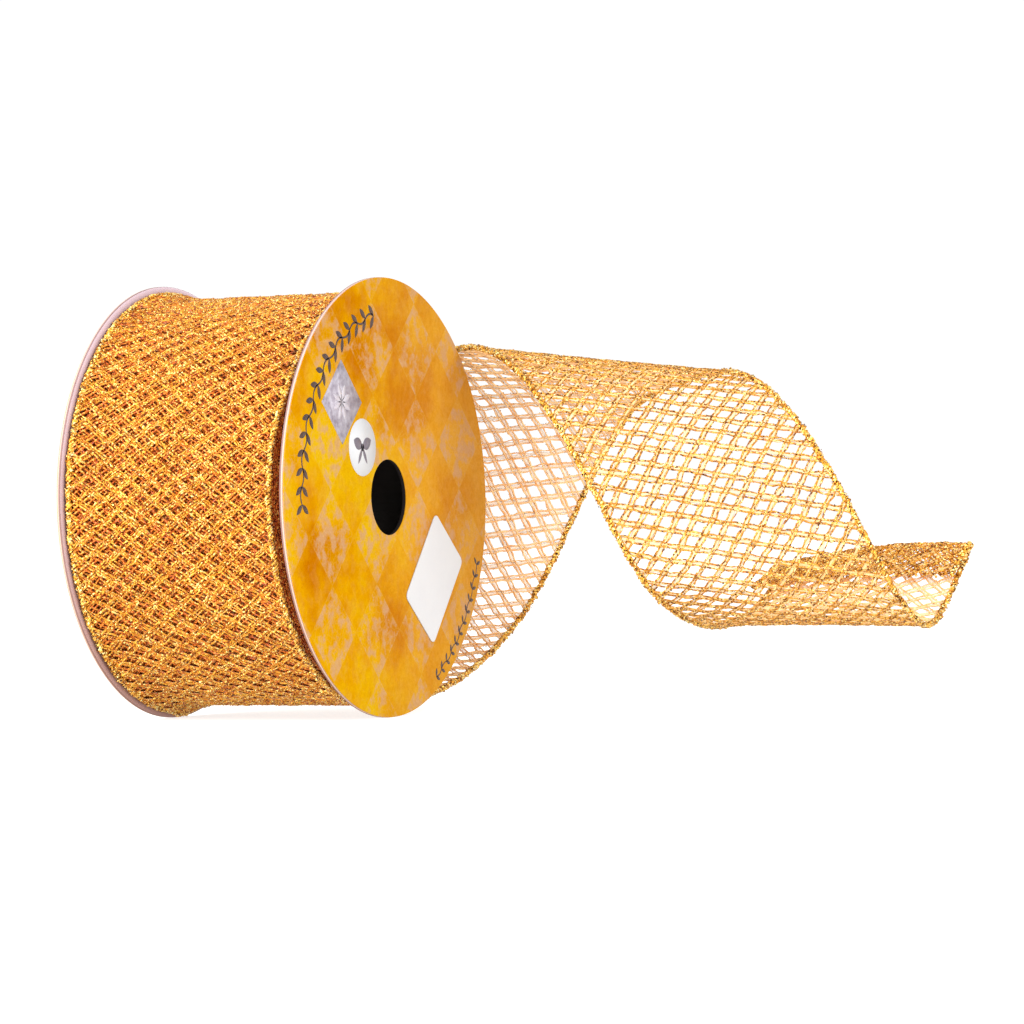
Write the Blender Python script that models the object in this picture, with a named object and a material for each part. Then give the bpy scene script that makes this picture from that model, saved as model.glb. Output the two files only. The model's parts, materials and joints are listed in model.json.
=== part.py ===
"""Ribbon spool: wired glitter-mesh ribbon wound on a cardboard spool that stands on its two flanges.

Metres, +Z up. Every mesh is built around the middle of the spool's axis, with +X along the axis
towards the printed front flange and +Y away from the ribbon's viewing side, so each piece has its
origin on the reel's joint axis. The empty "spool_axis" then stands the whole part on Z = 0.

Two bodies: the reel (flanges, core and wound ribbon) turns inside the free end of the ribbon
(its outermost turn and the tail that curls away from it).
"""

import math

import bmesh
import bpy
import numpy as np

MM = 0.001

# Spool
FLANGE_RADIUS = 62.5 * MM
FLANGE_SIDES = 56
CORE_SIDES = 40
SMOOTH_BELOW = math.radians(40)
WELD_DISTANCE = 0.01 * MM
HALF_WIDTH = 36.0 * MM
HOLE_RADIUS = 10.75 * MM
PRINT_THICKNESS = 0.2 * MM
PRINT_MARGIN = 0.4 * MM
LAMINATE_GAP = 0.1 * MM
BOARD_THICKNESS = 1.0 * MM
CORE_OUTER_RADIUS = 19.05 * MM
CORE_WALL = 1.55 * MM
GLUE_THICKNESS = 0.4 * MM
GLUE_SQUEEZE = 0.5 * MM
TAPE_THICKNESS = 0.25 * MM
TAPE_WIDTH = 50.0 * MM
TAPE_ANGLE = math.radians(70)
TAPE_ROWS = 15
LABEL_LENGTH = 31.0 * MM
LABEL_WIDTH = 22.0 * MM
LABEL_THICKNESS = 0.2 * MM
LABEL_CORNER = 1.8 * MM
LABEL_CENTRE = (27.3 * MM, -23.7 * MM)
LABEL_TURN = math.radians(50)
LABEL_CORNER_STEPS = 4

# Ribbon
GAP = 0.3 * MM
RIBBON_WIDTH = 63.5 * MM
RIBBON_START_X = -34.3 * MM
NET_THICKNESS = 0.8 * MM
BINDING_RADIUS = 0.9 * MM
BINDING_BORE = 0.5 * MM
WIRE_RADIUS = 0.2 * MM
OUTER_RADIUS = 58.6 * MM
TURN_PITCH = 1.05 * MM
OUTER_TURN_ANGLE = math.radians(335)
OUTER_TURN_ROWS = 44
TAIL_ROWS = 50
NET_COLUMNS = 3
BINDING_SIDES = 6
WIRE_SIDES = 5
ACROSS_STEP = 0.5 * MM
PLACE_STEP = 0.001

# The tail is rolled about straight lines that cross the ribbon at HELIX_ANGLE, so it curls away as
# a helix. Seen along those lines each edge is a row of arcs: (length, back edge's radius, front
# edge's radius), after a short level start.
HELIX_ANGLE = math.radians(25.8)
TAIL_LEVEL = 7.0 * MM
TAIL_ARCS = (
    (69 * MM, 73.5 * MM, 114.5 * MM),
    (90 * MM, 46.0 * MM, 38.0 * MM),
    (33 * MM, 67.5 * MM, 363.5 * MM),
    (75 * MM, 50.5 * MM, 48.5 * MM),
    (24 * MM, 26.5 * MM, 32.5 * MM),
    (98 * MM, 64.0 * MM, 26.5 * MM),
)
ARC_BLEND = 14 * MM
ARC_STEP = 0.5 * MM
BACK_EDGE_ARC = 389 * MM
FRONT_EDGE_ARC = 362 * MM
END_PULL = 5 * MM
END_PULL_START = 300 * MM

GOLD = (0.62, 0.27, 0.035)
GOLD_DARK = (0.42, 0.16, 0.02)
CARD = (0.60, 0.50, 0.53)
PRINT_GOLD = (0.83, 0.42, 0.03)
KRAFT = (0.33, 0.22, 0.13)


def principled(name, colour, roughness, metallic=0.0):
    material = bpy.data.materials.new(name)
    material.use_nodes = True
    shader = material.node_tree.nodes["Principled BSDF"]
    shader.inputs["Base Color"].default_value = (*colour, 1.0)
    shader.inputs["Roughness"].default_value = roughness
    shader.inputs["Metallic"].default_value = metallic
    material.diffuse_color = (*colour, 1.0)
    return material


def add_object(name, mesh, material, axis_empty):
    mesh.materials.append(material)
    piece = bpy.data.objects.new(name, mesh)
    bpy.context.collection.objects.link(piece)
    piece.parent = axis_empty
    return piece


def mesh_from(name, points, faces):
    """A closed mesh from points and faces, with its faces turned outwards."""
    mesh = bpy.data.meshes.new(name)
    mesh.from_pydata([tuple(point) for point in points], [], [tuple(face) for face in faces])
    work = bmesh.new()
    work.from_mesh(mesh)
    bmesh.ops.recalc_face_normals(work, faces=work.faces)
    work.to_mesh(mesh)
    work.free()
    return mesh


def ring_mesh(name, inner_radius, outer_radius, x_low, x_high, sides):
    """A flat-faced ring around X. Its outline's flats lie at outer_radius, one of them level below."""
    half_step = math.pi / sides
    corner_radius = outer_radius / math.cos(half_step)
    work = bmesh.new()
    profile = []
    for x, radius in (
        (x_low, inner_radius),
        (x_high, inner_radius),
        (x_high, corner_radius),
        (x_low, corner_radius),
    ):
        y = radius * math.sin(half_step)
        z = -radius * math.cos(half_step)
        profile.append(work.verts.new((x, y, z)))
    outline = [work.edges.new((profile[i], profile[(i + 1) % 4])) for i in range(4)]
    bmesh.ops.spin(
        work,
        geom=profile + outline,
        cent=(0, 0, 0),
        axis=(1, 0, 0),
        angle=math.tau,
        steps=sides,
    )
    bmesh.ops.remove_doubles(work, verts=work.verts, dist=WELD_DISTANCE)
    bmesh.ops.recalc_face_normals(work, faces=work.faces)
    mesh = bpy.data.meshes.new(name)
    work.to_mesh(mesh)
    work.free()
    mesh.shade_smooth()
    mesh.set_sharp_from_angle(angle=SMOOTH_BELOW)
    return mesh


def slab_mesh(name, middle, normals, thickness):
    """A closed sheet of the given thickness around a grid of middle points."""
    rows, columns = middle.shape[:2]
    upper = middle + normals * thickness / 2
    lower = middle - normals * thickness / 2
    points = np.concatenate([upper.reshape(-1, 3), lower.reshape(-1, 3)])
    below = rows * columns

    def at(row, column):
        return row * columns + column

    faces = []
    for row in range(rows - 1):
        for column in range(columns - 1):
            face = (
                at(row, column),
                at(row, column + 1),
                at(row + 1, column + 1),
                at(row + 1, column),
            )
            faces.append(face)
            faces.append(tuple(corner + below for corner in reversed(face)))
    rim = [at(0, column) for column in range(columns)]
    rim += [at(row, columns - 1) for row in range(1, rows)]
    rim += [at(rows - 1, column) for column in range(columns - 2, -1, -1)]
    rim += [at(row, 0) for row in range(rows - 2, 0, -1)]
    for here, there in zip(rim, rim[1:] + rim[:1]):
        faces.append((here, here + below, there + below, there))
    return mesh_from(name, points, faces)


def circle_sections(stations, radius, sides):
    """Circles of points around each station's centre, across its path."""
    centres, normals, sideways = stations
    turns = np.arange(sides) * math.tau / sides
    return (
        centres[:, None]
        + radius * np.cos(turns)[None, :, None] * normals[:, None]
        + radius * np.sin(turns)[None, :, None] * sideways[:, None]
    )


def wall_faces(first, rows, sides):
    """Quads between successive circles of points whose first index is `first`."""
    return [
        (
            first + row * sides + side,
            first + row * sides + (side + 1) % sides,
            first + (row + 1) * sides + (side + 1) % sides,
            first + (row + 1) * sides + side,
        )
        for row in range(rows - 1)
        for side in range(sides)
    ]


def rod_mesh(name, stations, radius, sides):
    circles = circle_sections(stations, radius, sides)
    rows = len(circles)
    faces = wall_faces(0, rows, sides)
    faces.append(tuple(range(sides)))
    faces.append(tuple((rows - 1) * sides + side for side in range(sides)))
    return mesh_from(name, circles.reshape(-1, 3), faces)


def pipe_mesh(name, stations, radius, bore, sides):
    """A pipe that is open at both ends, so that the wire inside it can be reached."""
    outer = circle_sections(stations, radius, sides)
    inner = circle_sections(stations, bore, sides)
    rows = len(outer)
    inside = rows * sides
    faces = wall_faces(0, rows, sides) + wall_faces(inside, rows, sides)
    for row in (0, rows - 1):
        for side in range(sides):
            here = row * sides + side
            there = row * sides + (side + 1) % sides
            faces.append((here, there, there + inside, here + inside))
    points = np.concatenate([outer.reshape(-1, 3), inner.reshape(-1, 3)])
    return mesh_from(name, points, faces)


def edge_route(edge):
    """One edge of the tail seen along the helix's lines: arc length, distance back and height.

    edge is 1 for the back edge's radii in TAIL_ARCS and 2 for the front edge's.
    """
    longest = BACK_EDGE_ARC + ARC_STEP
    arc = np.arange(-RIBBON_WIDTH, longest, ARC_STEP)
    bend = np.zeros_like(arc)
    begin = TAIL_LEVEL
    previous = 0.0
    for piece in TAIL_ARCS:
        ramp = np.clip((arc - begin) / ARC_BLEND + 0.5, 0, 1)
        bend += (1 / piece[edge] - previous) * ramp * ramp * (3 - 2 * ramp)
        previous = 1 / piece[edge]
        begin += piece[0]
    bend[arc < departure_arc(edge)] = 0.0
    slope = np.concatenate([[0], np.cumsum((bend[1:] + bend[:-1]) / 2 * ARC_STEP)])
    mid_slope = (slope[1:] + slope[:-1]) / 2
    back = arc[0] + np.concatenate([[0], np.cumsum(np.cos(mid_slope) * ARC_STEP)])
    height = -OUTER_RADIUS + np.concatenate([[0], np.cumsum(np.sin(mid_slope) * ARC_STEP)])
    return arc, back, height


def departure_arc(edge):
    """Where the edge leaves the roll's lowest line, as an arc length."""
    across = RIBBON_START_X + (edge - 1) * RIBBON_WIDTH
    return -across * math.sin(HELIX_ANGLE)


BACK_ROUTE = edge_route(1)
FRONT_ROUTE = edge_route(2)


def tail_point(across, along):
    """A point of the tail: across is X on the roll, along runs from 0 at the roll to 1 at the cut."""
    share = (across - RIBBON_START_X) / RIBBON_WIDTH
    begin = -across * math.sin(HELIX_ANGLE)
    end = BACK_EDGE_ARC + share * (FRONT_EDGE_ARC - BACK_EDGE_ARC)
    arc = begin + along * (end - begin)
    back = (1 - share) * np.interp(arc, *BACK_ROUTE[:2]) + share * np.interp(arc, *FRONT_ROUTE[:2])
    height = (1 - share) * np.interp(arc, BACK_ROUTE[0], BACK_ROUTE[2])
    height += share * np.interp(arc, FRONT_ROUTE[0], FRONT_ROUTE[2])
    pull = np.clip((arc - END_PULL_START) / (FRONT_EDGE_ARC - END_PULL_START), 0, 1)
    line = across / math.cos(HELIX_ANGLE) + arc * math.tan(HELIX_ANGLE)
    line -= END_PULL * share * pull * pull * (3 - 2 * pull)
    x = line * math.cos(HELIX_ANGLE) - back * math.sin(HELIX_ANGLE)
    y = line * math.sin(HELIX_ANGLE) + back * math.cos(HELIX_ANGLE)
    return np.array([x, y, height])


def turn_point(across, angle):
    """A point of the outermost turn, angle radians back along the ribbon from where it leaves."""
    radius = OUTER_RADIUS - TURN_PITCH * angle / math.tau
    return np.array([across, -radius * math.sin(angle), -radius * math.cos(angle)])


def free_point(across, place):
    """A point of the free end: place runs from -1 at the hidden end of the outermost turn, through
    0 where the ribbon leaves the roll, to 1 at the cut."""
    if place < 0:
        return turn_point(across, -place * OUTER_TURN_ANGLE)
    return tail_point(across, place)


def free_normal(across, place):
    """The free end's normal there, from the points a small step to each side."""
    sideways = free_point(across + ACROSS_STEP, place) - free_point(across - ACROSS_STEP, place)
    onwards = free_point(across, place + PLACE_STEP) - free_point(across, place - PLACE_STEP)
    normal = np.cross(onwards, sideways)
    return normal / np.linalg.norm(normal)


def net_sheet(name, places, material, axis_empty):
    """A stretch of the ribbon's net, between its two bindings."""
    inset = 2 * BINDING_RADIUS + GAP
    columns = np.linspace(
        RIBBON_START_X + inset, RIBBON_START_X + RIBBON_WIDTH - inset, NET_COLUMNS + 1
    )
    middle = np.array([[free_point(x, place) for x in columns] for place in places])
    normals = np.array([[free_normal(x, place) for x in columns] for place in places])
    return add_object(name, slab_mesh(name, middle, normals, NET_THICKNESS), material, axis_empty)


def edge_stations(across, places):
    """Centres and frames for a piece that follows one edge of the free end."""
    centres = np.array([free_point(across, place) for place in places])
    normals = np.array([free_normal(across, place) for place in places])
    onwards = np.gradient(centres, axis=0)
    onwards /= np.linalg.norm(onwards, axis=1)[:, None]
    sideways = np.cross(onwards, normals)
    sideways /= np.linalg.norm(sideways, axis=1)[:, None]
    return centres, np.cross(sideways, onwards), sideways


def build_free_end(axis_empty):
    gold = principled("glitter_net", GOLD, 0.45, 0.6)
    rope = principled("glitter_binding", GOLD_DARK, 0.5, 0.6)
    steel = principled("edge_wire", (0.55, 0.55, 0.57), 0.35, 1.0)
    split = GAP / 2
    turn_gap = split / (OUTER_RADIUS * OUTER_TURN_ANGLE)
    tail_gap = split / BACK_EDGE_ARC
    turn_places = np.linspace(-1, -turn_gap, OUTER_TURN_ROWS + 1)
    tail_places = np.linspace(tail_gap, 1, TAIL_ROWS + 1)
    net_sheet("ribbon_outer_turn", turn_places, gold, axis_empty)
    net_sheet("ribbon_tail", tail_places, gold, axis_empty)
    edge_places = np.concatenate([turn_places[:-1], tail_places])
    for side, across in (
        ("back", RIBBON_START_X + BINDING_RADIUS),
        ("front", RIBBON_START_X + RIBBON_WIDTH - BINDING_RADIUS),
    ):
        stations = edge_stations(across, edge_places)
        binding = pipe_mesh(
            side + "_edge_binding", stations, BINDING_RADIUS, BINDING_BORE, BINDING_SIDES
        )
        add_object(side + "_edge_binding", binding, rope, axis_empty)
        wire = rod_mesh(side + "_edge_wire", stations, WIRE_RADIUS, WIRE_SIDES)
        add_object(side + "_edge_wire", wire, steel, axis_empty)


def build_flange(side, direction, axis_empty):
    """One cardboard disc with its printed sheet outside; direction is +1 at the front."""
    outer_face = HALF_WIDTH
    print_inner = outer_face - PRINT_THICKNESS
    board_outer = print_inner - LAMINATE_GAP
    board_inner = board_outer - BOARD_THICKNESS
    card = principled(side + "_card", CARD, 0.85)
    ink = principled(side + "_ink", PRINT_GOLD, 0.45, 0.3)
    for name, low, high, radius, material in (
        ("_flange_board", board_inner, board_outer, FLANGE_RADIUS, card),
        ("_flange_print", print_inner, outer_face, FLANGE_RADIUS - PRINT_MARGIN, ink),
    ):
        x_low, x_high = sorted((low * direction, high * direction))
        mesh = ring_mesh(side + name, HOLE_RADIUS, radius, x_low, x_high, FLANGE_SIDES)
        add_object(side + name, mesh, material, axis_empty)
    return board_inner


def build_core(board_inner, axis_empty):
    """The cardboard tube and the glue rings that hold the flanges to its ends."""
    kraft = principled("core_kraft", KRAFT, 0.9)
    glue = principled("hot_glue", (0.75, 0.68, 0.50), 0.3)
    glue_outer = board_inner - LAMINATE_GAP
    glue_inner = glue_outer - GLUE_THICKNESS
    tube_half = glue_inner - LAMINATE_GAP
    inner_radius = CORE_OUTER_RADIUS - CORE_WALL
    tube = ring_mesh(
        "core_tube", inner_radius, CORE_OUTER_RADIUS, -tube_half, tube_half, CORE_SIDES
    )
    add_object("core_tube", tube, kraft, axis_empty)
    for side, direction in (("back", -1), ("front", 1)):
        x_low, x_high = sorted((glue_inner * direction, glue_outer * direction))
        ring = ring_mesh(
            side + "_glue_ring",
            inner_radius - GLUE_SQUEEZE,
            CORE_OUTER_RADIUS + GLUE_SQUEEZE,
            x_low,
            x_high,
            CORE_SIDES,
        )
        add_object(side + "_glue_ring", ring, glue, axis_empty)


def build_start_tape(axis_empty):
    """The strip of tape that holds the ribbon's inner end to the core."""
    radius = CORE_OUTER_RADIUS + LAMINATE_GAP + TAPE_THICKNESS / 2
    turns = np.linspace(-TAPE_ANGLE / 2, TAPE_ANGLE / 2, TAPE_ROWS)
    middle_x = RIBBON_START_X + RIBBON_WIDTH / 2
    columns = (middle_x - TAPE_WIDTH / 2, middle_x + TAPE_WIDTH / 2)
    normals = np.array([[(0, math.sin(turn), math.cos(turn))] * 2 for turn in turns])
    middle = normals * radius
    middle[:, :, 0] = columns
    mesh = slab_mesh("start_tape", middle, normals, TAPE_THICKNESS)
    add_object("start_tape", mesh, principled("tape", (0.80, 0.74, 0.60), 0.3), axis_empty)


def build_wound_ribbon(axis_empty):
    """The turns still on the core: the net between its two stacks of wired selvage."""
    inner = CORE_OUTER_RADIUS + 2 * LAMINATE_GAP + TAPE_THICKNESS + GAP
    outer = OUTER_RADIUS - TURN_PITCH - BINDING_RADIUS - GAP
    start = RIBBON_START_X
    end = RIBBON_START_X + RIBBON_WIDTH
    stack = 2 * BINDING_RADIUS
    net = principled("wound_net", GOLD, 0.5, 0.5)
    selvage = principled("wound_selvage", GOLD_DARK, 0.55, 0.5)
    for name, x_low, x_high, material in (
        ("wound_net", start + stack + GAP, end - stack - GAP, net),
        ("back_wound_selvage", start, start + stack, selvage),
        ("front_wound_selvage", end - stack, end, selvage),
    ):
        mesh = ring_mesh(name, inner, outer, x_low, x_high, FLANGE_SIDES)
        add_object(name, mesh, material, axis_empty)


def build_blank_label(axis_empty):
    """A blank white sticker on the front flange's print, with rounded corners."""
    outline = []
    for corner in range(4):
        sign_u = 1 if corner in (0, 3) else -1
        sign_v = 1 if corner in (0, 1) else -1
        centre_u = sign_u * (LABEL_LENGTH / 2 - LABEL_CORNER)
        centre_v = sign_v * (LABEL_WIDTH / 2 - LABEL_CORNER)
        for step in range(LABEL_CORNER_STEPS + 1):
            turn = (corner + step / LABEL_CORNER_STEPS) * math.pi / 2
            u = centre_u + LABEL_CORNER * math.cos(turn)
            v = centre_v + LABEL_CORNER * math.sin(turn)
            outline.append((u, v))
    cos_turn = math.cos(LABEL_TURN)
    sin_turn = math.sin(LABEL_TURN)
    x = HALF_WIDTH + LAMINATE_GAP
    work = bmesh.new()
    verts = [
        work.verts.new(
            (
                x,
                LABEL_CENTRE[0] + u * cos_turn - v * sin_turn,
                LABEL_CENTRE[1] + u * sin_turn + v * cos_turn,
            )
        )
        for u, v in outline
    ]
    face = work.faces.new(verts)
    grown = bmesh.ops.extrude_face_region(work, geom=[face])
    moved = [item for item in grown["geom"] if isinstance(item, bmesh.types.BMVert)]
    bmesh.ops.translate(work, verts=moved, vec=(LABEL_THICKNESS, 0, 0))
    bmesh.ops.recalc_face_normals(work, faces=work.faces)
    mesh = bpy.data.meshes.new("blank_label")
    work.to_mesh(mesh)
    work.free()
    paper = principled("label_paper", (0.86, 0.86, 0.86), 0.6)
    add_object("blank_label", mesh, paper, axis_empty)


def stand_on_floor(axis_empty):
    """Moves the spool's axis so that the part's box stands centred on the origin."""
    corners = []
    for piece in axis_empty.children:
        points = np.empty(len(piece.data.vertices) * 3)
        piece.data.vertices.foreach_get("co", points)
        corners.append(points.reshape(-1, 3).min(axis=0))
        corners.append(points.reshape(-1, 3).max(axis=0))
    low = np.min(corners, axis=0)
    high = np.max(corners, axis=0)
    axis_empty.location = (-(low[0] + high[0]) / 2, -(low[1] + high[1]) / 2, -low[2])


def main():
    for old in list(bpy.data.objects):
        bpy.data.objects.remove(old, do_unlink=True)
    axis_empty = bpy.data.objects.new("spool_axis", None)
    bpy.context.collection.objects.link(axis_empty)
    board_inner = build_flange("front", 1, axis_empty)
    build_flange("back", -1, axis_empty)
    build_core(board_inner, axis_empty)
    build_start_tape(axis_empty)
    build_wound_ribbon(axis_empty)
    build_blank_label(axis_empty)
    build_free_end(axis_empty)
    stand_on_floor(axis_empty)


main()
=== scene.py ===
"""The looks of the ribbon spool: glitter net, wired edges and printed card on the CAD frame."""

import json
import math

import bpy
import numpy as np
from mathutils import Matrix, Vector


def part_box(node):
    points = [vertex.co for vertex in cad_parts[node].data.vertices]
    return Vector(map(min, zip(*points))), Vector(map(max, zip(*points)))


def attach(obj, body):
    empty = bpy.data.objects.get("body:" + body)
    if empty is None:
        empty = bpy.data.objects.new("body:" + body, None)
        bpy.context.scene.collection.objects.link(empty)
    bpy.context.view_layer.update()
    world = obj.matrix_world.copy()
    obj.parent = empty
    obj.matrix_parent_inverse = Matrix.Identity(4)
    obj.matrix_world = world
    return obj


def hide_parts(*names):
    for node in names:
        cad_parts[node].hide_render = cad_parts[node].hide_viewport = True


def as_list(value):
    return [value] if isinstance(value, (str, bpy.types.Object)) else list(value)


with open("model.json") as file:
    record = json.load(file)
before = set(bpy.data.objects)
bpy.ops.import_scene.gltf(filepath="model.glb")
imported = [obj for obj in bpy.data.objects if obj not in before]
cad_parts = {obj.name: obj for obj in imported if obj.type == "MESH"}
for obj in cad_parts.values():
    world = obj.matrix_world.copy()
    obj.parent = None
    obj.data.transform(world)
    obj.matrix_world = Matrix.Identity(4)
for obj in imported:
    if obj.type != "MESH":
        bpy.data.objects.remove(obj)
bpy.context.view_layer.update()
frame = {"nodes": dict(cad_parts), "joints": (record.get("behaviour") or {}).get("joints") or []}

MM = 0.001
REEL = "reel"
FREE = "free_end"

# The spool's axis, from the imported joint
AXIS = np.array(frame["joints"][0]["pos_m"])
FLANGE_RADIUS = 62.5 * MM
HOLE_RADIUS = 10.75 * MM
CORE_RADIUS = 19.6 * MM

# The ribbon, as the CAD source has it
RIBBON_WIDTH = 63.5 * MM
RIBBON_START_X = -34.3 * MM
OUTER_RADIUS = 58.6 * MM
TURN_PITCH = 1.05 * MM
OUTER_TURN_ANGLE = math.radians(335)
HELIX_ANGLE = math.radians(25.8)
TAIL_LEVEL = 7.0 * MM
# Each bend of the tail: its length, and its radius along the back edge and along the front edge
TAIL_ARCS = (
    (69 * MM, 73.5 * MM, 114.5 * MM),
    (90 * MM, 46.0 * MM, 38.0 * MM),
    (33 * MM, 67.5 * MM, 363.5 * MM),
    (75 * MM, 50.5 * MM, 48.5 * MM),
    (24 * MM, 26.5 * MM, 32.5 * MM),
    (98 * MM, 64.0 * MM, 26.5 * MM),
)
ARC_BLEND = 14 * MM
ARC_STEP = 0.5 * MM
ARC_SPARE = 8 * MM
BACK_EDGE_ARC = 389 * MM
FRONT_EDGE_ARC = 362 * MM
END_PULL = 5 * MM
END_PULL_START = 300 * MM
TURN_LENGTH = OUTER_RADIUS * OUTER_TURN_ANGLE
TAIL_LENGTH = (BACK_EDGE_ARC + RIBBON_START_X * math.sin(HELIX_ANGLE)) / math.cos(HELIX_ANGLE)

# The step over which a direction on the ribbon is measured
NEARBY = 0.2 * MM

# The wound turns climb towards the back flange
BACK_RISE = 1.9 * MM
BACK_RISE_WIDTH = 12 * MM
RISE_FADE = 35 * MM

# The outermost turn's front edge is pulled towards the front flange, in two steps, then eases back
LOW_SPREAD = 0.9 * MM
LOW_SPREAD_TURN = math.radians(70)
HIGH_SPREAD = 1.9 * MM
HIGH_SPREAD_START = math.radians(98)
HIGH_SPREAD_TURN = math.radians(30)
SPREAD_END = math.radians(200)
SPREAD_FADE = math.radians(90)

# A corner of the back edge stands out where the ribbon leaves the roll
TIP_RISE = 1.2 * MM
TIP_WIDTH = 9 * MM
TIP_MIDDLE = 1 * MM
TIP_REACH = 5 * MM

# The low sweep of the tail lies a little higher than its bends alone would give
SWEEP_LIFT = 2.3 * MM
SWEEP_MIDDLE = 325 * MM
SWEEP_REACH = 32 * MM

# The cut end is folded back over the plain side
FOLD_RADIUS = 1.5 * MM
FOLD_TURN = math.radians(170)
FOLD_LENGTH = 13.5 * MM
FOLD_SLANT = 4.5 * MM
FOLD_SHORT = 1.0 * MM

# The net: two families of yarns in pairs. A section is half a width and half a height
PAIR_SPACING = 4.5 * MM
PAIR_GAP = 1.3 * MM
YARN_ANGLE = math.radians(36.6)
YARN_SECTION = (0.30 * MM, 0.34 * MM)
LOOSE_SECTION = (0.26 * MM, 0.31 * MM)
WEAVE_HEIGHT = 0.16 * MM
YARN_STEP = 1.0 * MM
YARN_SIDES = 4
YARN_STRAY = 0.10 * MM
YARN_WAVE = 0.30 * MM
YARN_WAVE_LENGTHS = (0.013, 0.031)
YARN_TREMOR = 0.34 * MM
YARN_TREMOR_LENGTHS = (0.0029, 0.0043, 0.0067)
YARN_UNEVEN = 0.07
YARN_ROUGH = 0.20
YARN_THINNEST = 0.6
YARN_STOUTEST = 1.5
NET_INSET = 0.6 * MM
CUT_FRAY = 0.8 * MM

# The thin film between the two yarns of a pair
FILM_SECTION = (0.34 * MM, 0.06 * MM)
LOOSE_FILM_SECTION = (0.60 * MM, 0.06 * MM)
FILM_STEP = 1.6 * MM

# The second net on the strip that is folded back
HEM_START = TAIL_LENGTH - FOLD_SHORT - 0.5 * MM
HEM_PHASE = 2.6 * MM

# The nets of the turns beneath: each lies lower, and is shifted along by its phase
UNDER_PITCH = 0.75 * MM
UNDER_PHASES = (2.8 * MM, 1.4 * MM, 4.2 * MM)
UNDER_STEP = 2.0 * MM
UNDER_STOUT = 1.2
CORE_DROP = 0.7

# The cords that bind its edges
ROPE_INSET = 0.9 * MM
ROPE_SIDES = 5
ROPE_STEP = 0.55 * MM
ROPE_WAVE = 0.22 * MM
ROPE_WAVE_LENGTHS = (0.0052, 0.0117, 0.023)
ROPE_CORE = 0.45 * MM
ROPE_STRANDS = 4
ROPE_PITCH = 3.1 * MM
TWIST_STRAY = 0.8
TWIST_LENGTHS = (0.009, 0.021)
STRAND_REACH = 0.44 * MM
STRAND_STRAY = 0.06 * MM
STRAND_RADIUS = 0.36 * MM
STRAND_ROUGH = 0.18
LOOP_HEIGHT = 0.48 * MM
LOOP_LENGTHS = (0.0031, 0.0043, 0.0077)

# The steel wire in each cord
WIRE_RADIUS = 0.2 * MM
WIRE_SIDES = 5
WIRE_STEP = 2.0 * MM

# The stacked edge cords of the wound turns
SELVAGE_LOW = 20.4 * MM
SELVAGE_HIGH = 56.6 * MM
SELVAGE_ROWS = 150
SELVAGE_RADIUS = 0.52 * MM
SELVAGE_ROUGH = 0.14
SELVAGE_LIFT = 0.07 * MM
SELVAGE_STRAY = 0.10 * MM

# Loose glitter: how far it tips, and how its size varies
GRAIN_TIP = 0.75
GRAIN_PEAK = 0.4
GRAIN_SIZES = (0.65, 1.35)
GRAIN_SPREAD = 0.06 * MM

# Grains on the cords and on the folded strip: count on a metre, offset, its spread, and size
CORD_GRAINS = (3600, 0.76 * MM, 0.16 * MM, 0.30 * MM)
HEM_GRAINS = (2000, 0.30 * MM, 0.06 * MM, 0.30 * MM)

# The printed check on the flanges, in the disc's own (Y, Z)
CHECK_CENTRE = (-8.4 * MM, 15.5 * MM)
CHECK_DIAGONAL = 26.6 * MM
FRONT_FACE = 36.0 * MM
# Up to this distance from the middle the flange rim is painted dark, as shade
RIM_SHADE_EDGE = 35.25 * MM
BOARD_CORNER = 0.18 * MM
PRINT_CORNER = 0.05 * MM
CORE_CORNER = 0.6 * MM
PRINT_MARGINS = (("front", 0.08 * MM), ("back", 0.4 * MM))
DISC_STEPS = 192
SHARP_ANGLE = math.radians(35)

# The board is painted browner as shade near the roll, up to this radius, over this width
SHADE_RADIUS = 62.2 * MM
SHADE_WIDTH = 2.2 * MM

# The yarns' glitter pattern, and how far the studio's light makes paper and ink be darkened
FLAKE_SIZE = 0.50 * MM
FLAKE_TILT = 1.1
EXPOSURE = 0.56

# The camera looks level across the spool, along the helix's lines, and is tipped a little
CAMERA_DISTANCE = 1.340
CAMERA_ROLL = 0.0204
CAMERA_LENS = 164.0
AIM_RIGHT = 0.0673
AIM_DOWN = 0.0049

LIGHT_TARGET = Vector((0, 0, 0.06))
FLOOR_REACH = 6.0
FLOOR_SHADE = 0.45
FLOOR_GLOW = 0.76
WORLD_LIGHT = 1.04


# ---- the camera


def place_camera():
    data = bpy.data.cameras.new("camera")
    data.sensor_width = 36.0
    data.lens = CAMERA_LENS
    data.clip_start = 0.05
    camera = bpy.data.objects.new("camera", data)
    bpy.context.scene.collection.objects.link(camera)
    bpy.context.scene.camera = camera
    to_right = Vector((math.cos(HELIX_ANGLE), math.sin(HELIX_ANGLE), 0))
    into_view = Vector((-math.sin(HELIX_ANGLE), math.cos(HELIX_ANGLE), 0))
    above = Vector((0, 0, 1))
    right = to_right * math.cos(CAMERA_ROLL) - above * math.sin(CAMERA_ROLL)
    upward = above * math.cos(CAMERA_ROLL) + to_right * math.sin(CAMERA_ROLL)
    aim = Vector(AXIS) + to_right * AIM_RIGHT - above * AIM_DOWN
    place = aim - into_view * CAMERA_DISTANCE
    turn = Matrix((right, upward, -into_view)).transposed().to_4x4()
    camera.matrix_world = Matrix.Translation(place) @ turn


place_camera()


# ---- the ribbon's surface


def unit(vectors):
    return vectors / np.linalg.norm(vectors, axis=-1, keepdims=True)


def smooth_step(share):
    share = np.clip(share, 0, 1)
    return share * share * (3 - 2 * share)


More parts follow.
